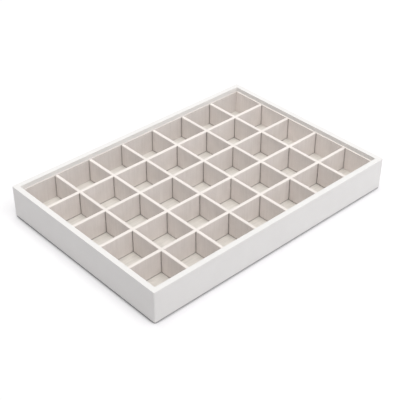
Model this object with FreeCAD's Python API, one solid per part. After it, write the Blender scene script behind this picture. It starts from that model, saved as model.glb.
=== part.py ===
# Stackable jewelry tray: a low leatherette-wrapped box with a velvet-covered grid of cells.
# Origin on the table under the middle of the tray, +X along the long side, +Y to the back, +Z up.
# All sizes are in millimetres.
import FreeCAD, Part
import math
import os

Vector = FreeCAD.Vector

# Outside of the finished tray
TRAY_LENGTH = 350.0
TRAY_WIDTH = 243.0
TRAY_HEIGHT = 41.0

# Leatherette wrap: over the rim, down the inside and turned under the bottom
WRAP_THICKNESS = 0.8
WRAP_UNDER_LAP = 14.0
WELL_CORNER_RADIUS = 0.6

# Boards inside the wrap
WALL_BOARD = 5.0
WALL_EDGE_RADIUS = 0.7
WALL_CORNER_RADIUS = 0.8
BASE_BOARD = 2.4
BASE_REBATE = 2.0

# Felt-covered panel under the bottom, which drops inside the rim of a tray below
UNDERSIDE_CARD = 1.5
UNDERSIDE_FELT = 0.4
UNDERSIDE_CORNER_RADIUS = 3.0
STACKING_CLEARANCE = 0.7
LAP_CLEARANCE = 0.3

# Velvet-covered floor panel
FLOOR_CARD = 0.8
FLOOR_VELVET = 0.5
FLOOR_CLEARANCE = 0.2

# Velvet-covered strips round the inside of the walls
LINER_CARD = 0.8
LINER_VELVET = 0.5
STACKING_DROP = 5.6

# Velvet-covered dividers, half-lapped where they cross
COLUMNS = 7
ROWS = 5
DIVIDER_CORE = 3.0
DIVIDER_VELVET = 0.5
FOLD_RADIUS_PER_THICKNESS = 2.0
SLOT_CLEARANCE = 0.4
SLOT_END_CLEARANCE = 0.15
END_CLEARANCE = 0.4

# Sizes that follow from the ones above
RIM = WALL_BOARD + 2 * WRAP_THICKNESS
WELL_LENGTH = TRAY_LENGTH - 2 * RIM
WELL_WIDTH = TRAY_WIDTH - 2 * RIM
LINER = LINER_CARD + LINER_VELVET
LINER_FOLD_RADIUS = LINER / 2
CELLS_LENGTH = WELL_LENGTH - 2 * LINER
CELLS_WIDTH = WELL_WIDTH - 2 * LINER
DIVIDER = DIVIDER_CORE + 2 * DIVIDER_VELVET
DIVIDER_FOLD_RADIUS = FOLD_RADIUS_PER_THICKNESS * DIVIDER_VELVET
COLUMN_PITCH = (CELLS_LENGTH + DIVIDER) / COLUMNS
ROW_PITCH = (CELLS_WIDTH + DIVIDER) / ROWS

# Heights above the table, from the bottom up
UNDERSIDE_TOP = UNDERSIDE_FELT + UNDERSIDE_CARD
BOARD_BOTTOM = UNDERSIDE_TOP + WRAP_THICKNESS
BASE_TOP = BOARD_BOTTOM + BASE_BOARD
FLOOR_CARD_TOP = BASE_TOP + FLOOR_CARD
FLOOR_TOP = FLOOR_CARD_TOP + FLOOR_VELVET
GRID_TOP = TRAY_HEIGHT - STACKING_DROP
HALF_LAP = (FLOOR_TOP + GRID_TOP) / 2
BOARD_TOP = TRAY_HEIGHT - WRAP_THICKNESS

# Two heights closer than this count as one
SAME_HEIGHT = 0.001


def on_plan(u, v):
    """Places a drawing point on the table plane."""
    return Vector(u, v, 0)


def on_section(u, v):
    """Places a drawing point on the upright plane across the X axis."""
    return Vector(0, u, v)


def rounded_face(corners, place):
    """Makes a flat face from (u, v, radius) corners, with an arc at each corner that has a radius."""
    points = [place(u, v) for u, v, radius in corners]
    ends = []
    arcs = []
    for index, (u, v, radius) in enumerate(corners):
        point = points[index]
        to_last = (points[index - 1] - point).normalize()
        to_next = (points[(index + 1) % len(points)] - point).normalize()
        half_angle = to_last.getAngle(to_next) / 2
        reach = radius / math.tan(half_angle)
        start = point + to_last * reach
        end = point + to_next * reach
        ends.append((start, end))
        if radius > 0:
            inward = (to_last + to_next).normalize()
            middle = point + inward * (radius / math.sin(half_angle) - radius)
            arcs.append(Part.Arc(start, middle, end).toShape())
        else:
            arcs.append(None)
    edges = []
    for index, (start, end) in enumerate(ends):
        if arcs[index]:
            edges.append(arcs[index])
        edges.append(Part.LineSegment(end, ends[(index + 1) % len(ends)][0]).toShape())
    return Part.Face(Part.Wire(edges))


def slab(length, width, bottom, top, radius=0.0):
    """Makes a level slab centred on the origin, with rounded upright corners."""
    x = length / 2
    y = width / 2
    corners = [(-x, -y, radius), (x, -y, radius), (x, y, radius), (-x, y, radius)]
    plan = rounded_face(corners, on_plan)
    plan.translate(Vector(0, 0, bottom))
    return plan.extrude(Vector(0, 0, top - bottom))


def strip(corners, length):
    """Extrudes an upright section along X, centred on the origin."""
    section = rounded_face(corners, on_section)
    section.translate(Vector(-length / 2, 0, 0))
    return section.extrude(Vector(length, 0, 0))


def placed(shape, turn, x, y):
    """Copies a shape, turned about the upright axis and moved over the table."""
    copy = shape.copy()
    copy.rotate(Vector(0, 0, 0), Vector(0, 0, 1), turn)
    copy.translate(Vector(x, y, 0))
    return copy


def edges_at(shape, height):
    """Lists the edges that lie level at one height."""
    found = []
    for edge in shape.Edges:
        box = edge.BoundBox
        if abs(box.ZMin - height) < SAME_HEIGHT and abs(box.ZMax - height) < SAME_HEIGHT:
            found.append(edge)
    return found


def make_base_board():
    """The board that closes the bottom, let into a rebate in the four walls."""
    length = WELL_LENGTH + 2 * (WRAP_THICKNESS + BASE_REBATE)
    width = WELL_WIDTH + 2 * (WRAP_THICKNESS + BASE_REBATE)
    return slab(length, width, BOARD_BOTTOM, BASE_TOP)


def make_wall_board(length, setback, outline):
    """One wall along X: a rebated strip with eased edges and a mitre at each end.

    The outer face lies at -setback on the Y axis, and outline rounds the tray's upright corners.
    """
    outer = -setback
    inner = outer + WALL_BOARD
    rebate = inner - BASE_REBATE
    section = [
        (outer, BOARD_BOTTOM, WALL_EDGE_RADIUS),
        (rebate, BOARD_BOTTOM, 0.0),
        (rebate, BASE_TOP, 0.0),
        (inner, BASE_TOP, 0.0),
        (inner, BOARD_TOP, WALL_EDGE_RADIUS),
        (outer, BOARD_TOP, WALL_EDGE_RADIUS),
    ]
    half = length / 2
    mitre = [
        (-half, outer, 0.0),
        (half, outer, 0.0),
        (half - WALL_BOARD, inner, 0.0),
        (WALL_BOARD - half, inner, 0.0),
    ]
    wedge = rounded_face(mitre, on_plan).extrude(Vector(0, 0, BOARD_TOP))
    return strip(section, length).common(wedge).common(outline)


def make_wall_boards():
    """The four walls, mitred at the corners."""
    length = TRAY_LENGTH - 2 * WRAP_THICKNESS
    width = TRAY_WIDTH - 2 * WRAP_THICKNESS
    outline = slab(length, width, BOARD_BOTTOM, BOARD_TOP, WALL_CORNER_RADIUS)
    turned_outline = placed(outline, 90, 0, 0)
    long_wall = make_wall_board(length, width / 2, outline)
    short_wall = make_wall_board(width, length / 2, turned_outline)
    return {
        "front_wall_board": placed(long_wall, 0, 0, 0),
        "back_wall_board": placed(long_wall, 180, 0, 0),
        "left_wall_board": placed(short_wall, -90, 0, 0),
        "right_wall_board": placed(short_wall, 90, 0, 0),
    }


def make_wrap(boards):
    """The leatherette skin, the same thickness all round the boards that it covers."""
    corner_radius = WALL_CORNER_RADIUS + WRAP_THICKNESS
    edge_radius = WALL_EDGE_RADIUS + WRAP_THICKNESS
    shell = slab(TRAY_LENGTH, TRAY_WIDTH, UNDERSIDE_TOP, TRAY_HEIGHT, corner_radius)
    shell = shell.cut(slab(WELL_LENGTH, WELL_WIDTH, BASE_TOP, TRAY_HEIGHT, WELL_CORNER_RADIUS))
    shell = shell.makeFillet(edge_radius, edges_at(shell, TRAY_HEIGHT) + edges_at(shell, UNDERSIDE_TOP))
    window_length = TRAY_LENGTH - 2 * WRAP_UNDER_LAP
    window_width = TRAY_WIDTH - 2 * WRAP_UNDER_LAP
    window = slab(window_length, window_width, UNDERSIDE_TOP, BOARD_BOTTOM)
    return shell.cut(boards + [window]).removeSplitter()


def make_underside():
    """The card panel under the bottom, stepped up inside the leatherette's lap, and its felt cover."""
    length = WELL_LENGTH - 2 * STACKING_CLEARANCE
    width = WELL_WIDTH - 2 * STACKING_CLEARANCE
    card_length = length - 2 * UNDERSIDE_FELT
    card_width = width - 2 * UNDERSIDE_FELT
    card_radius = max(UNDERSIDE_CORNER_RADIUS - UNDERSIDE_FELT, 0.0)
    plate = slab(card_length, card_width, UNDERSIDE_FELT, UNDERSIDE_TOP, card_radius)
    step_length = TRAY_LENGTH - 2 * (WRAP_UNDER_LAP + LAP_CLEARANCE)
    step_width = TRAY_WIDTH - 2 * (WRAP_UNDER_LAP + LAP_CLEARANCE)
    step = slab(step_length, step_width, UNDERSIDE_TOP, BOARD_BOTTOM)
    felt = slab(length, width, 0.0, UNDERSIDE_TOP, UNDERSIDE_CORNER_RADIUS).cut(plate)
    return {"underside_card": plate.fuse(step), "underside_felt": felt}


def make_floor():
    """The floor panel of the cells: a card with velvet over its top and turned down at its edges."""
    length = WELL_LENGTH - 2 * FLOOR_CLEARANCE
    width = WELL_WIDTH - 2 * FLOOR_CLEARANCE
    card = slab(length - 2 * FLOOR_VELVET, width - 2 * FLOOR_VELVET, BASE_TOP, FLOOR_CARD_TOP)
    velvet = slab(length, width, BASE_TOP, FLOOR_TOP).cut(card)
    return {"floor_card": card, "floor_velvet": velvet}


def make_liner(length):
    """One liner strip along X, its back on the X axis: a card with velvet over its face and top."""
    card_section = [
        (0.0, FLOOR_TOP, 0.0),
        (LINER_CARD, FLOOR_TOP, 0.0),
        (LINER_CARD, GRID_TOP - LINER_VELVET, 0.0),
        (0.0, GRID_TOP - LINER_VELVET, 0.0),
    ]
    cover_section = [
        (0.0, FLOOR_TOP, 0.0),
        (LINER, FLOOR_TOP, 0.0),
        (LINER, GRID_TOP, LINER_FOLD_RADIUS),
        (0.0, GRID_TOP, 0.0),
    ]
    card = strip(card_section, length)
    return card, strip(cover_section, length).cut(card)


def make_liners():
    """The four liner strips, the short ones held between the long ones."""
    long_strip = make_liner(WELL_LENGTH)
    short_strip = make_liner(CELLS_WIDTH)
    places = {
        "front": (long_strip, 0, 0.0, -WELL_WIDTH / 2),
        "back": (long_strip, 180, 0.0, WELL_WIDTH / 2),
        "left": (short_strip, -90, -WELL_LENGTH / 2, 0.0),
        "right": (short_strip, 90, WELL_LENGTH / 2, 0.0),
    }
    nodes = {}
    for side, ((card, velvet), turn, x, y) in places.items():
        nodes[f"{side}_liner_card"] = placed(card, turn, x, y)
        nodes[f"{side}_liner_velvet"] = placed(velvet, turn, x, y)
    return nodes


def make_divider(length, crossings, slot_bottom, slot_top):
    """One divider along X: a slotted core and the velvet folded over its top."""
    half_core = DIVIDER_CORE / 2
    core_top = GRID_TOP - DIVIDER_VELVET
    core_section = [
        (-half_core, FLOOR_TOP, 0.0),
        (half_core, FLOOR_TOP, 0.0),
        (half_core, core_top, 0.0),
        (-half_core, core_top, 0.0),
    ]
    half_cover = DIVIDER / 2
    cover_section = [
        (-half_cover, FLOOR_TOP, 0.0),
        (half_cover, FLOOR_TOP, 0.0),
        (half_cover, GRID_TOP, DIVIDER_FOLD_RADIUS),
        (-half_cover, GRID_TOP, DIVIDER_FOLD_RADIUS),
    ]
    core = strip(core_section, length)
    velvet = strip(cover_section, length).cut(core)
    slot = slab(DIVIDER + 2 * SLOT_CLEARANCE, 2 * DIVIDER, slot_bottom, slot_top)
    slots = [placed(slot, 0, x, 0.0) for x in crossings]
    return core.cut(slots), velvet.cut(slots)


def centred_row(count, pitch):
    """Lists the places of a row of pieces centred on the origin."""
    return [(index - (count - 1) / 2) * pitch for index in range(count)]


def make_dividers():
    """The grid: long dividers slotted from the top, short ones slotted from below."""
    columns = centred_row(COLUMNS - 1, COLUMN_PITCH)
    rows = centred_row(ROWS - 1, ROW_PITCH)
    long_length = CELLS_LENGTH - 2 * END_CLEARANCE
    short_length = CELLS_WIDTH - 2 * END_CLEARANCE
    long_pair = make_divider(long_length, columns, HALF_LAP - SLOT_END_CLEARANCE, GRID_TOP)
    short_pair = make_divider(short_length, rows, FLOOR_TOP, HALF_LAP + SLOT_END_CLEARANCE)
    nodes = {}
    for number, y in enumerate(rows, 1):
        nodes[f"long_divider_core_{number}"] = placed(long_pair[0], 0, 0.0, y)
        nodes[f"long_divider_velvet_{number}"] = placed(long_pair[1], 0, 0.0, y)
    for number, x in enumerate(columns, 1):
        nodes[f"short_divider_core_{number}"] = placed(short_pair[0], 90, x, 0.0)
        nodes[f"short_divider_velvet_{number}"] = placed(short_pair[1], 90, x, 0.0)
    return nodes


def make_tray():
    """Every piece of the tray, by name."""
    base_board = make_base_board()
    wall_boards = make_wall_boards()
    nodes = {"base_board": base_board}
    nodes.update(wall_boards)
    nodes["leatherette_wrap"] = make_wrap(list(wall_boards.values()) + [base_board])
    nodes.update(make_underside())
    nodes.update(make_floor())
    nodes.update(make_liners())
    nodes.update(make_dividers())
    return nodes


os.makedirs("parts", exist_ok=True)
for name, shape in make_tray().items():
    shape.exportStep(f"parts/{name}.step")
    print(name, "solids", len(shape.Solids), "valid", shape.isValid(), "volume", round(shape.Volume, 1))
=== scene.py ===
"""Looks of a stacking jewelry tray: a white leatherette shell round a velvet-covered grid of cells."""

import logging
import math
from abc import ABC, abstractmethod
from collections.abc import Callable, Iterable
from dataclasses import dataclass
from enum import Enum
from functools import reduce

import bmesh
import bpy
from mathutils import Matrix, Vector, noise


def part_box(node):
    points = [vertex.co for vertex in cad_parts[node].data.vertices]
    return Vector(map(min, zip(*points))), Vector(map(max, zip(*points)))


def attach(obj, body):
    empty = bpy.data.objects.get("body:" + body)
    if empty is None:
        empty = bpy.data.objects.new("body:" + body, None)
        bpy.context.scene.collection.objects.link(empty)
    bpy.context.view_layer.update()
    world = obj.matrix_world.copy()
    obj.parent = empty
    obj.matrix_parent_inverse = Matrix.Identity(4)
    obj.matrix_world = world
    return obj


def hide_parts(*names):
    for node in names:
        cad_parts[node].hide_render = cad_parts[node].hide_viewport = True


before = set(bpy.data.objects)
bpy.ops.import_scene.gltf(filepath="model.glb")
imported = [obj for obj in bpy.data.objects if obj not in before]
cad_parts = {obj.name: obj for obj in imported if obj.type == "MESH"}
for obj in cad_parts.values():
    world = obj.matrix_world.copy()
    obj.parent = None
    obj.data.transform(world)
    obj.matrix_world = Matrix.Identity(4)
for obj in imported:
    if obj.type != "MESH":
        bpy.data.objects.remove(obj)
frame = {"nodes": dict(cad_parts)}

LOG = logging.getLogger("jewelry_tray")
BODY = "root"
PHOTO_PIXELS = 400

# All lengths are in metres. Points that are less than NEAR apart count as touching.
MM = 0.001
NEAR = 1e-6

# The cells along the tray and across it.
COLUMNS = 7
ROWS = 5

# The marks on a velvet's vertices: where shade is painted on its pile at the joints, and how much
# lighter or darker its lie and painted light make it.
PAINTED_JOINT_SHADE = "joint"
LIE_AND_LIGHT = "lie_and_light"

UP = Vector((0.0, 0.0, 1.0))
WHITE = (1.0, 1.0, 1.0, 1.0)

# A bevel's profile that is part of a circle.
ROUND = 0.5

Colour = tuple[float, float, float]
Stretch = tuple[float, float, float]


class Hold(Enum):
    """How a covering is held on what is under it."""

    FOLDED = "folded"
    STRETCHED = "stretched"


class Run(Enum):
    """Which way a divider runs, as the turn from the tray's long axis in degrees."""

    LONG = 0.0
    SHORT = 90.0


class Notch(Enum):
    """Which edge of a divider is cut away for the half laps."""

    TOP = 1.0
    BOTTOM = -1.0


class Side(Enum):
    """A side of the well, as the turn from the front wall in degrees."""

    FRONT = 0.0
    BACK = 180.0
    LEFT = -90.0
    RIGHT = 90.0


# Painted light and shade on each liner: how much lighter or darker its face and its fold are painted.
LINER_PAINTED_LIGHT = {Side.FRONT: 0.0, Side.BACK: -0.05, Side.LEFT: 0.0, Side.RIGHT: 0.08}
FOLD_PAINTED_LIGHT = {Side.FRONT: 0.0, Side.BACK: -0.16, Side.LEFT: 0.0, Side.RIGHT: 0.07}

# The noise that each piece sways by.
LINER_SEED = {Side.FRONT: 3.0, Side.BACK: 4.0, Side.LEFT: 5.0, Side.RIGHT: 6.0}
DIVIDER_SEED = {Run.LONG: 0.0, Run.SHORT: 60.0}
DIVIDER_SEED_STEP = 11.0


class NodeBench:
    """A node tree, with short ways to add nodes and join them."""

    def __init__(self, tree: bpy.types.NodeTree) -> None:
        """Takes a tree as Blender starts it."""
        self.tree = tree

    def add(self, kind: str, inputs: dict | None = None, **settings: object) -> bpy.types.Node:
        """Adds a node.

        Args:
            kind: Blender's name for the node.
            inputs: values or sockets for its inputs, by name or number.
            settings: the node's own properties.

        Returns:
            The new node.
        """
        node = self.tree.nodes.new(kind)
        for name, value in settings.items():
            setattr(node, name, value)
        for key, value in (inputs or {}).items():
            self.feed(node.inputs[key], value)
        return node

    def feed(self, socket: bpy.types.NodeSocket, value: object) -> None:
        """Joins a socket to another one, or sets its plain value."""
        if isinstance(value, bpy.types.NodeSocket):
            self.tree.links.new(value, socket)
        else:
            socket.default_value = value

    def math(
        self, work: str, first: object, second: object, clamp: bool = False
    ) -> bpy.types.NodeSocket:
        """Adds a Math node on two values or sockets, and returns its result."""
        inputs = {0: first, 1: second}
        return self.add("ShaderNodeMath", inputs, operation=work, use_clamp=clamp).outputs[0]

    def seen_directly(self) -> bpy.types.NodeSocket:
        """Tells seen, mirrored and transmitted rays from the light's own."""
        path = self.add("ShaderNodeLightPath")
        seen = path.outputs["Is Camera Ray"]
        for other in ("Is Glossy Ray", "Is Transmission Ray"):
            seen = self.math("ADD", seen, path.outputs[other], clamp=True)
        return seen


class FinishBench(NodeBench):
    """The node tree of one finish: a Principled shader, with patterns in Object coordinates."""

    # The range that most of a noise lies in, how its finer layers fade, and the Mix node's sockets.
    NOISE_RANGE = (0.3, 0.7)
    NOISE_FADE = 0.55
    MIX_INPUTS = (0, 6, 7)
    MIX_RESULT = 2

    def __init__(self, name: str) -> None:
        """Starts a material of that name."""
        self.material = bpy.data.materials.new(name)
        self.material.use_nodes = True
        super().__init__(self.material.node_tree)
        self.shader = self.tree.nodes["Principled BSDF"]
        coordinates = self.add("ShaderNodeTexCoord")
        self.place = coordinates.outputs["Object"]
        self.facing = coordinates.outputs["Normal"]

    def noise(
        self, size: float, stretch: Stretch = (1.0, 1.0, 1.0), detail: float = 2.0
    ) -> bpy.types.NodeSocket:
        """Adds a noise pattern.

        Args:
            size: the width of one spot in metres.
            stretch: how closely the spots repeat along each axis.
            detail: how many finer layers the noise has.

        Returns:
            The noise's factor, from 0 to 1.
        """
        scaled = self.add("ShaderNodeMapping", {"Vector": self.place, "Scale": stretch})
        inputs = {
            "Vector": scaled.outputs["Vector"],
            "Scale": 1.0 / size,
            "Detail": detail,
            "Roughness": self.NOISE_FADE,
        }
        return self.add("ShaderNodeTexNoise", inputs).outputs[0]

    def cells(self, size: float) -> bpy.types.NodeSocket:
        """Adds a pattern of small rounded cells of that width, and returns its distance."""
        inputs = {"Vector": self.place, "Scale": 1.0 / size}
        return self.add("ShaderNodeTexVoronoi", inputs, feature="SMOOTH_F1").outputs["Distance"]

    def weigh(self, *layers: tuple[bpy.types.NodeSocket, float]) -> bpy.types.NodeSocket:
        """Adds up patterns, each times its own share."""
        weighed = [self.math("MULTIPLY", layer, share) for layer, share in layers]
        return reduce(lambda total, layer: self.math("ADD", total, layer), weighed)

    def spread(self, value: bpy.types.NodeSocket, low: float, high: float) -> bpy.types.NodeSocket:
        """Stretches the middle of a noise to a range from low to high."""
        start, end = self.NOISE_RANGE
        inputs = {"Value": value, "From Min": start, "From Max": end, "To Min": low, "To Max": high}
        return self.add("ShaderNodeMapRange", inputs).outputs[0]

    def ramp(self, value: bpy.types.NodeSocket, dark: Colour, light: Colour) -> bpy.types.NodeSocket:
        """Turns the middle of a noise into a colour between two tones."""
        node = self.add("ShaderNodeValToRGB", {"Fac": self.spread(value, 0.0, 1.0)})
        node.color_ramp.elements[0].color = (*dark, 1.0)
        node.color_ramp.elements[1].color = (*light, 1.0)
        return node.outputs["Color"]

    def blend(self, share: object, first: object, second: object) -> bpy.types.NodeSocket:
        """Mixes two colours, from the first at 0 to the second at 1."""
        inputs = dict(zip(self.MIX_INPUTS, (share, first, second)))
        return self.add("ShaderNodeMix", inputs, data_type="RGBA").outputs[self.MIX_RESULT]

    def mark(self, name: str) -> bpy.types.NodeSocket:
        """Reads a mark from the piece's vertices."""
        return self.add("ShaderNodeAttribute", attribute_name=name).outputs["Fac"]

    def upward(self, start: float, full: float) -> bpy.types.NodeSocket:
        """Gives 0 where the surface looks sideways, and 1 where it looks up by more than full."""
        height = self.add("ShaderNodeSeparateXYZ", {"Vector": self.facing}).outputs["Z"]
        inputs = {"Value": height, "From Min": start, "From Max": full}
        return self.add("ShaderNodeMapRange", inputs, interpolation_type="SMOOTHSTEP").outputs[0]

    def bump(
        self, height: bpy.types.NodeSocket, depth: float, normal: bpy.types.NodeSocket | None = None
    ) -> bpy.types.NodeSocket:
        """Adds relief of that depth in metres, on top of an earlier relief if one is given."""
        inputs = {"Height": height, "Distance": depth, "Strength": 1.0}
        if normal is not None:
            inputs["Normal"] = normal
        return self.add("ShaderNodeBump", inputs).outputs["Normal"]

    def shade(self, **sockets: object) -> None:
        """Sets the shader's sockets, named with underscores for spaces."""
        for name, value in sockets.items():
            self.feed(self.shader.inputs[name.replace("_", " ")], value)


class Finish(ABC):
    """A surface finish that can give its Blender material."""

    @abstractmethod
    def material(self) -> bpy.types.Material:
        """Makes the material."""


@dataclass(frozen=True)
class Leatherette(Finish):
    """Coated cloth with a fine pressed grain and a soft gloss."""

    name: str
    light: Colour
    dark: Colour
    grain: float
    grain_depth: float
    crease_depth: float
    roughness: float
    gloss: float
    cloud: float = 22.0 * MM
    cloud_share: float = 0.6
    crease: float = 1.6 * MM
    crease_share: float = 0.4
    roughness_sway: float = 0.06

    def material(self) -> bpy.types.Material:
        """Makes the material: faint clouding, pebble grain and fine creases."""
        bench = FinishBench(self.name)
        cloud = bench.noise(self.cloud, detail=3.0)
        crease = bench.noise(self.crease, detail=4.0)
        tone = bench.weigh((cloud, self.cloud_share), (crease, self.crease_share))
        pebble = bench.bump(bench.cells(self.grain), self.grain_depth)
        sway = self.roughness_sway
        bench.shade(
            Base_Color=bench.ramp(tone, self.dark, self.light),
            Roughness=bench.spread(crease, self.roughness - sway, self.roughness + sway),
            Specular_IOR_Level=self.gloss,
            Normal=bench.bump(crease, self.crease_depth, pebble),
        )
        return bench.material


@dataclass(frozen=True)
class Velvet(Finish):
    """Short cut pile: soft patches, brushed streaks, fibres and sheen, with painted light on up-facing
    folds and painted shade at the joints.
    """

    name: str
    light: Colour
    dark: Colour
    # The tone painted on up-facing surfaces: painted light on the tops of the folds.
    fold: Colour | None
    streak: Stretch
    sheen: float
    # How dark the painted shade at the joints makes the pile.
    joint_shade_factor: float
    patch: float = 14.0 * MM
    patch_share: float = 0.35
    brush: float = 2.2 * MM
    brush_share: float = 0.4
    brush_depth: float = 0.10 * MM
    fibre: float = 0.35 * MM
    fibre_share: float = 0.25
    fibre_depth: float = 0.08 * MM
    fold_shade: float = 0.95
    fold_start: float = 0.05
    fold_full: float = 0.5
    smoothest: float = 0.84
    roughest: float = 0.96
    gloss: float = 0.1
    sheen_roughness: float = 0.4
    sheen_tint: Colour = (1.0, 0.97, 0.93)

    def material(self) -> bpy.types.Material:
        """Makes the material from three sizes of noise and the marks on the piece, which paint shade at
        the joints and light on each liner side.
        """
        bench = FinishBench(self.name)
        patch = bench.noise(self.patch, detail=3.0)
        brushed = bench.noise(self.brush, self.streak, detail=3.0)
        fibre = bench.noise(self.fibre)
        layers = ((patch, self.patch_share), (brushed, self.brush_share), (fibre, self.fibre_share))
        plain = bench.ramp(bench.weigh(*layers), self.dark, self.light)
        # Painted shade: the pile is darkened where the joint mark lies, in crossings, at ends and along
        # the feet.
        shaded_joint_tone = tuple(self.joint_shade_factor * value for value in self.dark)
        colour = bench.blend(bench.mark(PAINTED_JOINT_SHADE), plain, (*shaded_joint_tone, 1.0))
        # Painted light: the fold tone is laid on where the surface faces up, so the tops look lit.
        if self.fold:
            shaded = tuple(self.fold_shade * value for value in self.fold)
            painted_top_light = bench.ramp(fibre, shaded, self.fold)
            colour = bench.blend(bench.upward(self.fold_start, self.fold_full), colour, painted_top_light)
        # The lie mark lightens or darkens the colour: a tone for each divider, and painted light and
        # shade on each liner side.
        lie = bench.math("ADD", bench.mark(LIE_AND_LIGHT), 1.0)
        pile = bench.bump(brushed, self.brush_depth)
        bench.shade(
            Base_Color=bench.add("ShaderNodeHueSaturation", {"Color": colour, "Value": lie}).outputs[0],
            Roughness=bench.spread(patch, self.smoothest, self.roughest),
            Specular_IOR_Level=self.gloss,
            Sheen_Weight=self.sheen,
            Sheen_Roughness=self.sheen_roughness,
            Sheen_Tint=(*self.sheen_tint, 1.0),
            Normal=bench.bump(fibre, self.fibre_depth, pile),
        )
        return bench.material


@dataclass(frozen=True)
class Board(Finish):
    """Pressed board: fibres that lie along one direction, and small specks."""

    name: str
    light: Colour
    dark: Colour
    lie: Stretch
    fibre: float
    speck: float
    roughness: float
    fibre_share: float = 0.65
    fibre_depth: float = 0.05 * MM
    speck_share: float = 0.35
    roughness_sway: float = 0.08
    gloss: float = 0.2

    def material(self) -> bpy.types.Material:
        """Makes the material from fibres and specks."""
        bench = FinishBench(self.name)
        fibres = bench.noise(self.fibre, self.lie, detail=4.0)
        specks = bench.noise(self.speck, detail=1.0)
        tone = bench.weigh((fibres, self.fibre_share), (specks, self.speck_share))
        sway = self.roughness_sway
        bench.shade(
            Base_Color=bench.ramp(tone, self.dark, self.light),
            Roughness=bench.spread(specks, self.roughness - sway, self.roughness + sway),
            Specular_IOR_Level=self.gloss,
            Normal=bench.bump(fibres, self.fibre_depth),
        )
        return bench.material


WHITE_LEATHERETTE = Leatherette(
    name="white_leatherette",
    light=(0.893, 0.879, 0.864),
    dark=(0.864, 0.847, 0.832),
    grain=0.75 * MM,
    grain_depth=0.09 * MM,
    crease_depth=0.054 * MM,
    roughness=0.40,
    gloss=0.7,
)
# The wall velvet's fold tone is painted light on the up-facing tops of the liners and dividers.
WALL_VELVET = Velvet(
    name="wall_velvet",
    light=(0.862, 0.812, 0.786),
    dark=(0.745, 0.695, 0.667),
    fold=(0.948, 0.890, 0.849),
    streak=(1.0, 1.0, 0.06),
    sheen=0.12,
    joint_shade_factor=0.71,
)
FLOOR_VELVET = Velvet(
    name="floor_velvet",
    light=(0.915, 0.884, 0.832),
    dark=(0.710, 0.686, 0.641),
    fold=None,
    streak=(0.1, 1.0, 1.0),
    sheen=0.12,
    joint_shade_factor=0.83,
)
BASE_FELT = Velvet(
    name="base_felt",
    light=(0.800, 0.745, 0.690),
    dark=(0.690, 0.635, 0.580),
    fold=None,
    streak=(0.5, 1.0, 1.0),
    sheen=0.2,
    joint_shade_factor=0.7,
)
FIBREBOARD = Board(
    name="fibreboard",
    light=(0.56, 0.42, 0.27),
    dark=(0.42, 0.29, 0.17),
    lie=(0.3, 0.3, 1.0),
    fibre=0.9 * MM,
    speck=0.45 * MM,
    roughness=0.75,
)
GREYBOARD = Board(
    name="greyboard",
    light=(0.44, 0.41, 0.36),
    dark=(0.31, 0.28, 0.25),
    lie=(0.6, 0.6, 1.0),
    fibre=0.6 * MM,
    speck=0.3 * MM,
    roughness=0.85,
)


def wander(place: Vector, reach: float, seed: float) -> float:
    """Gives smooth noise from -1 to 1, always the same for the same place and seed."""
    return noise.noise(place / reach + Vector((seed, 1.7 * seed, 2.3 * seed)))


def sink(place: Vector, reach: float, seed: float) -> float:
    """Gives smooth noise from -1 to 0, for what may lie lower than its CAD piece but not higher."""
    return 0.5 * (wander(place, reach, seed) - 1.0)


def all_parts(bm: bmesh.types.BMesh) -> list:
    """Lists every vertex, edge and face of a mesh."""
    return [*bm.verts, *bm.edges, *bm.faces]


def edges_where(
    bm: bmesh.types.BMesh, test: Callable[[Vector, Vector], bool]
) -> list[bmesh.types.BMEdge]:
    """Picks edges by where their two ends are."""
    return [edge for edge in bm.edges if test(edge.verts[0].co, edge.verts[1].co)]


def inner_edges(edges: Iterable[bmesh.types.BMEdge]) -> list[bmesh.types.BMEdge]:
    """Picks edges that lie between two faces."""
    return [edge for edge in edges if len(edge.link_faces) == 2]


def outer_edges(bm: bmesh.types.BMesh) -> list[bmesh.types.BMEdge]:
    """Picks the edges round a sheet."""
    return [edge for edge in bm.edges if edge.is_boundary]


def round_parts(
    bm: bmesh.types.BMesh, parts: list, radius: float, segments: int, affect: str = "EDGES"
) -> None:
    """Rounds edges, or the corners of a sheet.

    Args:
        bm: the mesh.
        parts: the edges, or the vertices at the corners.
        radius: the radius of the rounding.
        segments: how many faces go round it.
        affect: EDGES or VERTICES.
    """
    bmesh.ops.bevel(
        bm,
        geom=parts,
        offset=radius,
        offset_type="OFFSET",
        affect=affect,
        segments=segments,
        profile=ROUND,
        material=-1,
        clamp_overlap=True,
    )


def draw_edges(
    bm: bmesh.types.BMesh, edges: list[bmesh.types.BMEdge], step: Vector
) -> list[bmesh.types.BMEdge]:
    """Extrudes edges into faces.

    Args:
        bm: the mesh.
        edges: the edges to draw out.
        step: how far they go.

    Returns:
        The edges at the far end.
    """
    made = bmesh.ops.extrude_edge_only(bm, edges=edges)["geom"]
    ends = {part for part in made if isinstance(part, bmesh.types.BMVert)}
    bmesh.ops.translate(bm, verts=list(ends), vec=step)
    drawn = [part for part in made if isinstance(part, bmesh.types.BMEdge)]
    return [edge for edge in drawn if ends.issuperset(edge.verts)]


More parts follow.
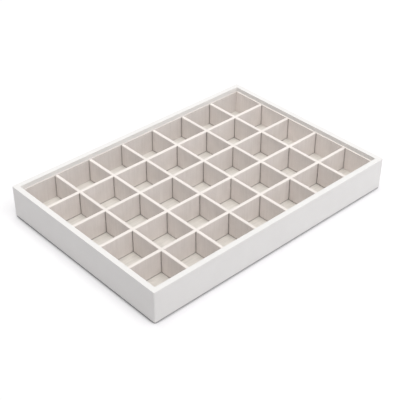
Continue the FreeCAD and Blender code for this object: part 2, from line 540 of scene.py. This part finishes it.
def stops_along(
    length: float, joints: Iterable[float], half: float, crease: float, margin: float, longest: float
) -> list[float]:
    """Lists where a covering has lines of edges.

    Args:
        length: the covering's length, centred on zero.
        joints: the places where other pieces meet it.
        half: half the width of each of those joints.
        crease: how far beside a joint the painted shade fades out.
        margin: how far the first and last lines lie from the ends.
        longest: the longest stretch without an edge.

    Returns:
        The places in order.
    """
    marks = {-length / 2, margin - length / 2, length / 2 - margin, length / 2}
    for joint in joints:
        marks |= {joint - half - crease, joint - half, joint + half, joint + half + crease}
    placed = sorted(marks)
    stops = [placed[0]]
    for start, end in zip(placed, placed[1:]):
        count = max(1, math.ceil((end - start) / longest))
        stops += [start + (end - start) * (step + 1) / count for step in range(count)]
    return stops


def draw_profile(
    bm: bmesh.types.BMesh, profile: list[tuple[float, float]], stops: list[float]
) -> None:
    """Draws a section of points across and up along X, with a line of edges at each stop."""
    corners = [bm.verts.new((stops[0], across, height)) for across, height in profile]
    rail = [bm.edges.new(pair) for pair in zip(corners, corners[1:])]
    for start, end in zip(stops, stops[1:]):
        rail = draw_edges(bm, rail, Vector((end - start, 0.0, 0.0)))


def cut_level(bm: bmesh.types.BMesh, height: float) -> None:
    """Puts a line of edges round a mesh at that height."""
    bmesh.ops.bisect_plane(bm, geom=all_parts(bm), plane_co=height * UP, plane_no=UP)


def mark_verts(bm: bmesh.types.BMesh, name: str, value: Callable[[Vector], float]) -> None:
    """Writes a value to each vertex by its place, for the velvet's material to read."""
    layer = bm.verts.layers.float.new(name)
    for vert in bm.verts:
        vert[layer] = float(value(vert.co))


def face_out(bm: bmesh.types.BMesh, way: Vector) -> None:
    """Makes the faces agree, with the outermost face along way looking that way."""
    bmesh.ops.recalc_face_normals(bm, faces=bm.faces)
    bm.normal_update()
    outermost = max(bm.faces, key=lambda face: face.calc_center_median().dot(way))
    if outermost.normal.dot(way) < 0.0:
        bmesh.ops.reverse_faces(bm, faces=bm.faces)


@dataclass
class Covering(ABC):
    """A thin covering that is glued over a board, modelled as the sheet that it is."""

    EASE_SEGMENTS = 2
    EASE_ANGLE = math.radians(50.0)

    node: str
    slot: str
    finish: bpy.types.Material
    under: str
    thickness: float
    hold: Hold
    out: Vector
    edge_round: float

    @abstractmethod
    def shape(self, bm: bmesh.types.BMesh) -> None:
        """Models the outer surface in a mesh."""

    @abstractmethod
    def flat(self) -> tuple[float, float]:
        """Gives the width and length of the piece as cut, in metres."""

    def thicken(self, piece: bpy.types.Object) -> None:
        """Gives the sheet its thickness inwards and eases its cut edges."""
        wall = piece.modifiers.new("thickness", "SOLIDIFY")
        wall.thickness = self.thickness
        wall.offset = -1.0
        wall.use_even_offset = True
        ease = piece.modifiers.new("eased_edges", "BEVEL")
        ease.width = self.edge_round
        ease.segments = self.EASE_SEGMENTS
        ease.limit_method = "ANGLE"
        ease.angle_limit = self.EASE_ANGLE
        ease.profile = ROUND
        even = piece.modifiers.new("even_shading", "WEIGHTED_NORMAL")
        even.keep_sharp = False

    def build(self) -> bpy.types.Object:
        """Makes the piece, dresses it and ties it to the CAD frame.

        Returns:
            The finished object.
        """
        bm = bmesh.new()
        self.shape(bm)
        face_out(bm, self.out)
        mesh = bpy.data.meshes.new(f"{self.node}_cover")
        bm.to_mesh(mesh)
        bm.free()
        mesh.materials.append(self.finish)
        mesh.shade_smooth()
        piece = bpy.data.objects.new(mesh.name, mesh)
        bpy.context.scene.collection.objects.link(piece)
        self.thicken(piece)
        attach(piece, BODY)
        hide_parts(self.node)
        self.flat()
        LOG.info("%s: %d faces", piece.name, len(mesh.polygons))
        return piece


@dataclass
class ShellWrap(Covering):
    """The leatherette that is turned over the four wall boards, from under the base into the well."""

    low: Vector
    high: Vector
    rim: float
    well_floor: float
    lap: float = 14.0 * MM
    corner_radius: float = 1.6 * MM
    corner_segments: int = 6
    well_corner_radius: float = 0.6 * MM
    well_corner_segments: int = 4
    edge_radius: float = 1.5 * MM
    edge_segments: int = 5
    sharp_angle: float = math.radians(60.0)

    def on_corner(self, place: Vector, inset: float) -> bool:
        """Says whether a point is on an upright corner line, that far inside two of the outer faces."""
        depths = (min(place[axis] - self.low[axis], self.high[axis] - place[axis]) for axis in (0, 1))
        return all(abs(depth - inset) < NEAR for depth in depths)

    def corners(self, bm: bmesh.types.BMesh, inset: float) -> list[bmesh.types.BMEdge]:
        """Picks the upright corner edges that far inside the outer faces."""
        tall = (self.high.z - self.low.z) / 2
        uprights = edges_where(bm, lambda a, b: abs(a.z - b.z) > tall)
        return [edge for edge in uprights if all(self.on_corner(vert.co, inset) for vert in edge.verts)]

    def shape(self, bm: bmesh.types.BMesh) -> None:
        """Insets and extrudes a box into the turned skin, then rounds its corners and rims."""
        made = bmesh.ops.create_cube(bm, size=1.0)["verts"]
        bmesh.ops.scale(bm, vec=self.high - self.low, verts=made)
        bmesh.ops.translate(bm, vec=(self.high + self.low) / 2, verts=made)
        bm.normal_update()
        top = max(bm.faces, key=lambda face: face.normal.z)
        bottom = min(bm.faces, key=lambda face: face.normal.z)
        for face, width in ((top, self.rim), (bottom, self.lap)):
            bmesh.ops.inset_region(
                bm, faces=[face], thickness=width, use_even_offset=True, use_boundary=True
            )
        sunk = bmesh.ops.extrude_discrete_faces(bm, faces=[top])["faces"]
        drop = (self.well_floor - self.high.z) * UP
        bmesh.ops.translate(bm, vec=drop, verts=sunk[0].verts[:])
        bmesh.ops.delete(bm, geom=[*sunk, bottom], context="FACES_ONLY")
        self.round_off(bm)

    def round_off(self, bm: bmesh.types.BMesh) -> None:
        """Rounds the upright corners first, then the rims and the bottom edge."""
        round_parts(bm, self.corners(bm, 0.0), self.corner_radius, self.corner_segments)
        round_parts(bm, self.corners(bm, self.rim), self.well_corner_radius, self.well_corner_segments)
        bm.normal_update()
        sharp = [edge for edge in inner_edges(bm.edges) if edge.calc_face_angle() > self.sharp_angle]
        round_parts(bm, sharp, self.edge_radius, self.edge_segments)

    def flat(self) -> tuple[float, float]:
        """Gives the cut band: the tray's girth by the skin's length from lap to well."""
        size = self.high - self.low
        girth = 2.0 * (size.x + size.y)
        return girth, self.lap + size.z + self.rim + self.high.z - self.well_floor


@dataclass
class DividerSleeve(Covering):
    """The velvet that is folded over one divider's core, notched for the half laps."""

    run: Run
    notch: Notch
    centre: Vector
    length: float
    width: float
    foot: float
    top: float
    crossings: list[float]
    slot_width: float
    fold_radius: float
    lie_and_light: float
    seed: float
    fold_segments: int = 4
    crease: float = 0.8 * MM
    longest: float = 8.0 * MM
    closed_gap: float = 0.08 * MM
    closed_height: float = 2.0 * MM
    hug_share: float = 0.8
    sway: float = 0.12 * MM
    sway_reach: float = 90.0 * MM
    top_reach: float = 25.0 * MM
    top_seed: float = 5.0

    def shape(self, bm: bmesh.types.BMesh) -> None:
        """Draws the fold along the divider, cuts the notches, and turns it into place."""
        half, half_slot = self.width / 2, self.slot_width / 2
        fold = [(-half, self.foot), (-half, self.top), (half, self.top), (half, self.foot)]
        crease = self.crease
        stops = stops_along(self.length, self.crossings, half_slot, crease, crease, self.longest)
        draw_profile(bm, fold, stops)
        lap = (self.foot + self.top) / 2
        for height in (self.foot + self.crease, lap, self.top - self.closed_height):
            cut_level(bm, height)
        self.cut_notches(bm, lap)
        folds = edges_where(bm, lambda a, b: min(a.z, b.z) > self.top - NEAR and abs(a.x - b.x) > NEAR)
        round_parts(bm, inner_edges(folds), self.fold_radius, self.fold_segments)
        mark_verts(bm, PAINTED_JOINT_SHADE, self.shaded_in_joint)
        mark_verts(bm, LIE_AND_LIGHT, lambda place: self.lie_and_light)
        self.close_tops(bm)
        self.settle(bm)
        turn = Matrix.Translation((self.centre.x, self.centre.y, 0.0)) @ Matrix.Rotation(
            math.radians(self.run.value), 4, "Z"
        )
        bmesh.ops.transform(bm, matrix=turn, verts=bm.verts)

    def at_crossing(self, place: Vector, reach: float) -> bool:
        """Says whether a point lies nearer to the middle of a crossing than reach."""
        return any(abs(place.x - crossing) < reach for crossing in self.crossings)

    def shaded_in_joint(self, place: Vector) -> bool:
        """Says whether a point lies in a crossing, at an end or on the floor, where shade is painted on
        the pile.
        """
        at_end = abs(place.x) > self.length / 2 - NEAR
        on_floor = place.z < self.foot + NEAR
        return at_end or on_floor or self.at_crossing(place, self.slot_width / 2 + NEAR)

    def cut_notches(self, bm: bmesh.types.BMesh, lap: float) -> None:
        """Takes away the faces where the other dividers pass."""
        gone = []
        for face in bm.faces:
            middle = face.calc_center_median()
            on_cut_side = (middle.z - lap) * self.notch.value > 0.0
            if on_cut_side and self.at_crossing(middle, self.slot_width / 2):
                gone.append(face)
        bmesh.ops.delete(bm, geom=gone, context="FACES")

    def close_tops(self, bm: bmesh.types.BMesh) -> None:
        """Lets the pile at the top reach over each notch, round the fold of the divider that passes."""
        if self.notch is not Notch.TOP:
            return
        gap = self.slot_width / 2 - self.width / 2 - self.closed_gap
        for vert in bm.verts:
            if vert.co.z < self.top - self.closed_height + NEAR:
                continue
            above = max(0.0, vert.co.z - self.top + self.fold_radius)
            hug = self.fold_radius - math.sqrt(max(0.0, self.fold_radius**2 - above**2))
            for crossing in self.crossings:
                away = vert.co.x - crossing
                if abs(abs(away) - self.slot_width / 2) < NEAR:
                    vert.co.x -= math.copysign(gap + self.hug_share * hug, away)

    def settle(self, bm: bmesh.types.BMesh) -> None:
        """Lets the divider stand a little out of line, as one placed by hand does."""
        for vert in bm.verts:
            along = Vector((vert.co.x, 0.0, 0.0))
            vert.co.y += self.sway * wander(along, self.sway_reach, self.seed)
            rise = (vert.co.z - self.foot) / (self.top - self.foot)
            vert.co.z += self.sway * rise * sink(along, self.top_reach, self.seed + self.top_seed)

    def flat(self) -> tuple[float, float]:
        """Gives the cut strip: the divider's length by the way over its top."""
        return self.length, 2.0 * (self.top - self.foot) + self.width


@dataclass
class LinerSleeve(Covering):
    """The velvet on one liner card: a face to the cells and a fold over the card's top."""

    side: Side
    distance: float
    length: float
    depth: float
    foot: float
    top: float
    fold_radius: float
    joints: list[float]
    joint_width: float
    # Painted light and shade on this side's face and fold.
    lie_and_light: float
    fold_painted_light: float
    seed: float
    fold_segments: int = 4
    fold_share: float = 0.9
    crease: float = 0.8 * MM
    longest: float = 12.0 * MM
    sway: float = 0.1 * MM
    sway_reach: float = 30.0 * MM

    def shape(self, bm: bmesh.types.BMesh) -> None:
        """Draws the fold along the wall, rounds it and turns it to its side."""
        fold = [(0.0, self.top), (self.depth, self.top), (self.depth, self.foot)]
        half, crease = self.joint_width / 2, self.crease
        stops = stops_along(self.length, self.joints, half, crease, crease, self.longest)
        draw_profile(bm, fold, stops)
        cut_level(bm, self.foot + self.crease)
        tops = edges_where(bm, lambda a, b: min(a.z, b.z) > self.top - NEAR and abs(a.x - b.x) > NEAR)
        round_parts(bm, inner_edges(tops), self.fold_radius, self.fold_segments)
        mark_verts(bm, PAINTED_JOINT_SHADE, self.shaded_in_joint)
        mark_verts(bm, LIE_AND_LIGHT, self.painted_light_at)
        for vert in bm.verts:
            rise = (vert.co.z - self.foot) / (self.top - self.foot)
            along = Vector((vert.co.x, 0.0, 0.0))
            vert.co.z += self.sway * rise * sink(along, self.sway_reach, self.seed)
        turn = Matrix.Rotation(math.radians(self.side.value), 4, "Z") @ Matrix.Translation(
            (0.0, -self.distance, 0.0)
        )
        bmesh.ops.transform(bm, matrix=turn, verts=bm.verts)

    def shaded_in_joint(self, place: Vector) -> bool:
        """Says whether a point lies behind a divider's end, where shade is painted on the pile."""
        reach = self.joint_width / 2 + NEAR
        return any(abs(place.x - joint) < reach for joint in self.joints)

    def painted_light_at(self, place: Vector) -> float:
        """Gives the painted light on the fold or on the face."""
        return self.fold_painted_light if place.z > self.top - self.fold_share * self.fold_radius else self.lie_and_light

    def flat(self) -> tuple[float, float]:
        """Gives the cut strip: the wall's length by the face and the fold."""
        return self.length, self.top - self.foot + self.depth


def flat_pan(low: Vector, high: Vector) -> tuple[float, float]:
    """Gives the cut size of a sheet whose edges are turned up or down all round."""
    size = high - low
    return size.x + 2.0 * size.z, size.y + 2.0 * size.z


@dataclass
class FloorSheet(Covering):
    """The velvet stretched over the floor card, with its edges turned down."""

    low: Vector
    high: Vector
    across: list[float]
    along: list[float]
    foot_width: float
    crease: float = 0.4 * MM
    margin: float = 1.5 * MM
    longest: float = 4.5 * MM
    sway: float = 0.08 * MM
    sway_reach: float = 11.0 * MM
    seed: float = 7.0

    def shape(self, bm: bmesh.types.BMesh) -> None:
        """Draws the sheet with lines at the dividers' feet, sways the pile and turns the edges down."""
        size = self.high - self.low
        half = self.foot_width / 2
        widths = stops_along(size.y, self.along, half, self.crease, self.margin, self.longest)
        lengths = stops_along(size.x, self.across, half, self.crease, self.margin, self.longest)
        draw_profile(bm, [(width, self.high.z) for width in widths], lengths)
        mark_verts(bm, PAINTED_JOINT_SHADE, self.shaded_under_foot)
        for vert in bm.verts:
            vert.co.z = self.high.z + self.sway * sink(vert.co, self.sway_reach, self.seed)
        draw_edges(bm, outer_edges(bm), (self.sway / 2 - size.z) * UP)

    def shaded_under_foot(self, place: Vector) -> bool:
        """Says whether a point lies under a divider's foot, where shade is painted on the pile."""
        reach = self.foot_width / 2 + NEAR
        feet = ((place.x, self.across), (place.y, self.along))
        return any(abs(spot - foot) < reach for spot, places in feet for foot in places)

    def flat(self) -> tuple[float, float]:
        """Gives the cut sheet with its turned edges."""
        return flat_pan(self.low, self.high)


@dataclass
class UndersidePan(Covering):
    """The felt round the stiff card under the tray, with its edges turned up."""

    low: Vector
    high: Vector
    corner_radius: float = 3.0 * MM
    corner_segments: int = 6
    edge_radius: float = 0.45 * MM
    edge_segments: int = 3

    def shape(self, bm: bmesh.types.BMesh) -> None:
        """Rounds a sheet's corners, turns its edges up and eases the fold."""
        size, middle = self.high - self.low, (self.low + self.high) / 2
        bmesh.ops.create_grid(bm, x_segments=1, y_segments=1, size=0.5)
        bmesh.ops.scale(bm, vec=(size.x, size.y, 1.0), verts=bm.verts)
        bmesh.ops.translate(bm, vec=(middle.x, middle.y, self.low.z), verts=bm.verts)
        round_parts(bm, bm.verts[:], self.corner_radius, self.corner_segments, affect="VERTICES")
        draw_edges(bm, outer_edges(bm), size.z * UP)
        lowest = edges_where(bm, lambda a, b: max(a.z, b.z) < self.low.z + NEAR)
        round_parts(bm, inner_edges(lowest), self.edge_radius, self.edge_segments)

    def flat(self) -> tuple[float, float]:
        """Gives the cut sheet with its turned edges."""
        return flat_pan(self.low, self.high)


@dataclass
class Shell:
    """The covered outside of the tray: the leatherette skin and the felt underneath."""

    leatherette: bpy.types.Material
    felt: bpy.types.Material
    leatherette_edge: float = 0.2 * MM
    felt_thickness: float = 0.4 * MM
    felt_edge: float = 0.1 * MM

    def build(self) -> None:
        """Makes the skin and the underside, to the sizes of the CAD pieces."""
        self.build_wrap()
        self.build_underside()

    def build_wrap(self) -> None:
        """Makes the leatherette skin."""
        low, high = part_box("leatherette_wrap")
        board_low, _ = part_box("front_wall_board")
        liner_low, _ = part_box("front_liner_velvet")
        floor_low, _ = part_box("floor_velvet")
        ShellWrap(
            node="leatherette_wrap",
            slot="white_leatherette",
            finish=self.leatherette,
            under="front_wall_board",
            thickness=board_low.y - low.y,
            hold=Hold.STRETCHED,
            out=UP,
            edge_round=self.leatherette_edge,
            low=low,
            high=high,
            rim=liner_low.y - low.y,
            well_floor=floor_low.z,
        ).build()

    def build_underside(self) -> None:
        """Makes the felt on the card under the tray."""
        low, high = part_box("underside_felt")
        UndersidePan(
            node="underside_felt",
            slot="base_felt",
            finish=self.felt,
            under="underside_card",
            thickness=self.felt_thickness,
            hold=Hold.FOLDED,
            out=-UP,
            edge_round=self.felt_edge,
            low=low,
            high=high,
        ).build()


@dataclass
class CellGrid:
    """The velvet inside of the tray: floor, liners and the half-lapped dividers."""

    wall_velvet: bpy.types.Material
    floor_velvet: bpy.types.Material
    velvet: float = 0.5 * MM
    velvet_edge: float = 0.12 * MM
    divider_edge: float = 0.16 * MM
    fold_radius: float = 1.0 * MM
    liner_fold_radius: float = 0.56 * MM
    slot_gap: float = 0.5 * MM
    foot_gap: float = 0.6 * MM
    # How far past each divider's foot the painted shade on the floor velvet reaches.
    foot_shade_margin: float = 0.05 * MM
    liner_gap: float = 0.1 * MM
    nap_sway: float = 0.012

    def build(self) -> None:
        """Makes the floor, the four liners and the ten dividers."""
        self.build_floor()
        for side in Side:
            self.build_liner(side)
        for number in range(1, ROWS):
            self.build_divider(Run.LONG, number)
        for number in range(1, COLUMNS):
            self.build_divider(Run.SHORT, number)

    def divider_places(self, run: Run) -> list[float]:
        """Lists where the dividers of one run stand across the tray."""
        count, axis = (ROWS, 1) if run is Run.LONG else (COLUMNS, 0)
        names = [f"{run.name.lower()}_divider_velvet_{number}" for number in range(1, count)]
        boxes = [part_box(name) for name in names]
        return [(low[axis] + high[axis]) / 2 for low, high in boxes]

    def divider_width(self) -> float:
        """Gives the thickness of a covered divider."""
        low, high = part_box("long_divider_velvet_1")
        return high.y - low.y

    def build_floor(self) -> None:
        """Makes the velvet on the floor card."""
        low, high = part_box("floor_velvet")
        FloorSheet(
            node="floor_velvet",
            slot="floor_velvet",
            finish=self.floor_velvet,
            under="floor_card",
            thickness=self.velvet,
            hold=Hold.STRETCHED,
            out=UP,
            edge_round=self.velvet_edge,
            low=low,
            high=high,
            across=self.divider_places(Run.SHORT),
            along=self.divider_places(Run.LONG),
            foot_width=self.divider_width() + 2.0 * self.foot_shade_margin,
        ).build()

    def build_liner(self, side: Side) -> None:
        """Makes the velvet on one wall of the well."""
        name = side.name.lower()
        low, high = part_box(f"{name}_liner_velvet")
        along_wall = side in (Side.FRONT, Side.BACK)
        size = high - low
        reach = max(abs(low.y), abs(high.y)) if along_wall else max(abs(low.x), abs(high.x))
        LinerSleeve(
            node=f"{name}_liner_velvet",
            slot="wall_velvet",
            finish=self.wall_velvet,
            under=f"{name}_liner_card",
            thickness=self.velvet,
            hold=Hold.FOLDED,
            out=UP,
            edge_round=self.velvet_edge,
            side=side,
            distance=reach,
            length=size.x if along_wall else size.y,
            depth=size.y if along_wall else size.x,
            foot=low.z + self.liner_gap,
            top=high.z,
            fold_radius=self.liner_fold_radius,
            joints=self.divider_places(Run.SHORT if along_wall else Run.LONG),
            joint_width=self.divider_width() + 2.0 * self.velvet,
            lie_and_light=LINER_PAINTED_LIGHT[side],
            fold_painted_light=FOLD_PAINTED_LIGHT[side],
            seed=LINER_SEED[side],
        ).build()

    def build_divider(self, run: Run, number: int) -> None:
        """Makes the velvet on one divider."""
        name = f"{run.name.lower()}_divider_velvet_{number}"
        low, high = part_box(name)
        size, middle = high - low, (high + low) / 2
        long_run = run is Run.LONG
        width = size.y if long_run else size.x
        DividerSleeve(
            node=name,
            slot="wall_velvet",
            finish=self.wall_velvet,
            under=name.replace("velvet", "core"),
            thickness=self.velvet,
            hold=Hold.FOLDED,
            out=UP,
            edge_round=self.divider_edge,
            run=run,
            notch=Notch.TOP if long_run else Notch.BOTTOM,
            centre=middle,
            length=size.x if long_run else size.y,
            width=width,
            foot=low.z + self.foot_gap,
            top=high.z,
            crossings=self.divider_places(Run.SHORT if long_run else Run.LONG),
            slot_width=width + 2.0 * self.slot_gap,
            fold_radius=self.fold_radius,
            lie_and_light=self.nap_sway * (-1.0) ** number,
            seed=DIVIDER_SEED_STEP * number + DIVIDER_SEED[run],
        ).build()


@dataclass
class Boards:
    """The plain boards and cards under the coverings, which keep their CAD shapes."""

    fibreboard: bpy.types.Material
    greyboard: bpy.types.Material

    def dress(self, nodes: dict[str, bpy.types.Object]) -> None:
        """Gives every board and card its own finish."""
        for name, node in nodes.items():
            if name.endswith("_board"):
                self.paint(node, self.fibreboard)
            elif "_card" in name or "_core" in name:
                self.paint(node, self.greyboard)

    def paint(self, node: bpy.types.Object, finish: bpy.types.Material) -> None:
        """Puts one finish on a CAD node."""
        node.data.materials.clear()
        node.data.materials.append(finish)
        LOG.info("%s: %s", node.name, finish.name)


def way_to(azimuth: float, elevation: float) -> Vector:
    """Gives the direction from the tray to a lamp or a camera.

    Args:
        azimuth: its turn from the front, in degrees, with the right side at 90.
        elevation: its angle above the table, in degrees.

    Returns:
        The direction, with a length of 1.
    """
    around, above = math.radians(azimuth), math.radians(elevation)
    level = Vector((math.sin(around), -math.cos(around), 0.0))
    return math.cos(above) * level + math.sin(above) * UP


@dataclass(frozen=True)
class Lamp:
    """A large round soft lamp that looks at the tray."""

    name: str
    azimuth: float
    elevation: float
    distance: float
    level: float
    colour: Colour
    spread: float = 0.72

    def build(self) -> None:
        """Hangs the lamp: at a level of 1 a white surface that faces it looks white."""
        lamp = bpy.data.lights.new(self.name, "AREA")
        lamp.shape = "DISK"
        lamp.size = self.spread * self.distance
        lamp.color = self.colour
        lamp.energy = self.level * (math.pi * self.distance) ** 2
        back = way_to(self.azimuth, self.elevation)
        holder = bpy.data.objects.new(self.name, lamp)
        holder.location = back * self.distance
        holder.rotation_euler = back.to_track_quat("Z", "Y").to_euler()
        bpy.context.scene.collection.objects.link(holder)


LAMPS = (
    Lamp(
        name="left_lamp",
        azimuth=-70.0,
        elevation=40.0,
        distance=20.0,
        level=0.131,
        colour=(1.0, 0.994, 0.984),
    ),
    Lamp(
        name="front_lamp",
        azimuth=0.0,
        elevation=60.0,
        distance=20.0,
        level=0.449,
        colour=(1.0, 0.992, 0.99),
    ),
    Lamp(
        name="back_lamp",
        azimuth=180.0,
        elevation=70.0,
        distance=1.3,
        level=0.244,
        colour=(1.0, 0.998, 0.972),
    ),
    Lamp(
        name="right_lamp",
        azimuth=60.0,
        elevation=25.0,
        distance=1.3,
        level=0.245,
        colour=(0.951, 0.977, 1.0),
    ),
)


@dataclass
class Studio:
    """White surroundings with faint light from all round, and large soft lamps round the tray."""

    lamps: tuple[Lamp, ...] = LAMPS
    floor_size: float = 12.0
    floor_tone: Colour = (0.585, 0.576, 0.590)
    floor_glow: float = 0.45
    shadow_reach: float = 14.0 * MM
    shadow_start: float = 0.5
    shadow_softness: float = 0.19
    shadow_samples: int = 16
    sky_level: float = 0.345

    def build(self) -> None:
        """Makes the floor, the sky and the lamps."""
        self.build_floor()
        self.build_sky()
        for lamp in self.lamps:
            lamp.build()

    def build_floor(self) -> None:
        """Makes the floor under the tray."""
        bm = bmesh.new()
        bmesh.ops.create_grid(bm, x_segments=1, y_segments=1, size=self.floor_size / 2)
        mesh = bpy.data.meshes.new("studio_floor")
        bm.to_mesh(mesh)
        bm.free()
        mesh.materials.append(self.floor_paint())
        floor = bpy.data.objects.new("studio_floor", mesh)
        bpy.context.scene.collection.objects.link(floor)

    def floor_paint(self) -> bpy.types.Material:
        """Makes a pale paint that glows for the eye alone, so it looks white away from the tray; near
        the tray the glow fades with ambient occlusion, a painted contact shadow.
        """
        material = bpy.data.materials.new("studio_floor")
        material.use_nodes = True
        bench = NodeBench(material.node_tree)
        bench.tree.nodes.remove(bench.tree.nodes["Principled BSDF"])
        paint = bench.add("ShaderNodeBsdfDiffuse", {"Color": (*self.floor_tone, 1.0)})
        reach = {"Distance": self.shadow_reach}
        # The glow fades where ambient occlusion finds the tray close by: painted contact shadow.
        contact = bench.add("ShaderNodeAmbientOcclusion", reach, samples=self.shadow_samples)
        openness = {"Value": contact.outputs["AO"], "From Min": self.shadow_start}
        painted_shadow_fade = bench.add("ShaderNodeMapRange", openness).outputs[0]
        shown = bench.math("MULTIPLY", bench.math("POWER", painted_shadow_fade, self.shadow_softness), self.floor_glow)
        glow = bench.add(
            "ShaderNodeEmission", {"Strength": bench.math("MULTIPLY", bench.seen_directly(), shown)}
        )
        both = bench.add("ShaderNodeAddShader", {0: paint.outputs[0], 1: glow.outputs[0]})
        bench.feed(bench.tree.nodes["Material Output"].inputs["Surface"], both.outputs[0])
        return material

    def build_sky(self) -> None:
        """Makes an even dome of faint light that is plain white where it is seen."""
        world = bpy.data.worlds.new("studio_sky")
        bpy.context.scene.world = world
        world.use_nodes = True
        bench = NodeBench(world.node_tree)
        light = bench.tree.nodes["Background"]
        bench.feed(light.inputs["Color"], WHITE)
        bench.feed(light.inputs["Strength"], self.sky_level)
        white = bench.add("ShaderNodeBackground", {"Color": WHITE, "Strength": 1.0})
        skies = {"Fac": bench.seen_directly(), 1: light.outputs[0], 2: white.outputs[0]}
        both = bench.add("ShaderNodeMixShader", skies)
        bench.feed(bench.tree.nodes["World Output"].inputs["Surface"], both.outputs[0])


@dataclass
class PhotoCamera:
    """The photograph's camera, as fitted to the tray's own straight edges."""

    focal_pixels: float = 944.468
    azimuth: float = -42.999
    elevation: float = 35.754
    roll: float = 0.388
    distance: float = 1.097272
    right_pixels: float = 1.636
    down_pixels: float = 1.303
    sensor: float = 36.0
    nearest: float = 0.01
    farthest: float = 50.0

    def build(self) -> None:
        """Places the camera and makes it the scene's own."""
        back = way_to(self.azimuth, self.elevation)
        right = way_to(self.azimuth + 90.0, 0.0)
        up = back.cross(right)
        lean = math.radians(self.roll)
        across = math.cos(lean) * right + math.sin(lean) * up
        upright = math.cos(lean) * up - math.sin(lean) * right
        lens = bpy.data.cameras.new("photo_camera")
        lens.sensor_width = self.sensor
        lens.lens = self.sensor * self.focal_pixels / PHOTO_PIXELS
        lens.shift_x = -self.right_pixels / PHOTO_PIXELS
        lens.shift_y = self.down_pixels / PHOTO_PIXELS
        lens.clip_start = self.nearest
        lens.clip_end = self.farthest
        holder = bpy.data.objects.new("photo_camera", lens)
        turned = Matrix((across, upright, back)).transposed().to_4x4()
        holder.matrix_world = Matrix.Translation(back * self.distance) @ turned
        bpy.context.scene.collection.objects.link(holder)
        bpy.context.scene.camera = holder


def main() -> None:
    """Builds the looks of the tray round its CAD frame."""
    logging.basicConfig(level=logging.INFO, format="%(name)s: %(message)s")
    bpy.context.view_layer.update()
    bpy.context.scene.view_settings.view_transform = "Standard"
    PhotoCamera().build()
    Studio().build()
    Boards(FIBREBOARD.material(), GREYBOARD.material()).dress(frame["nodes"])
    Shell(WHITE_LEATHERETTE.material(), BASE_FELT.material()).build()
    CellGrid(WALL_VELVET.material(), FLOOR_VELVET.material()).build()


if __name__ == "__main__":
    main()
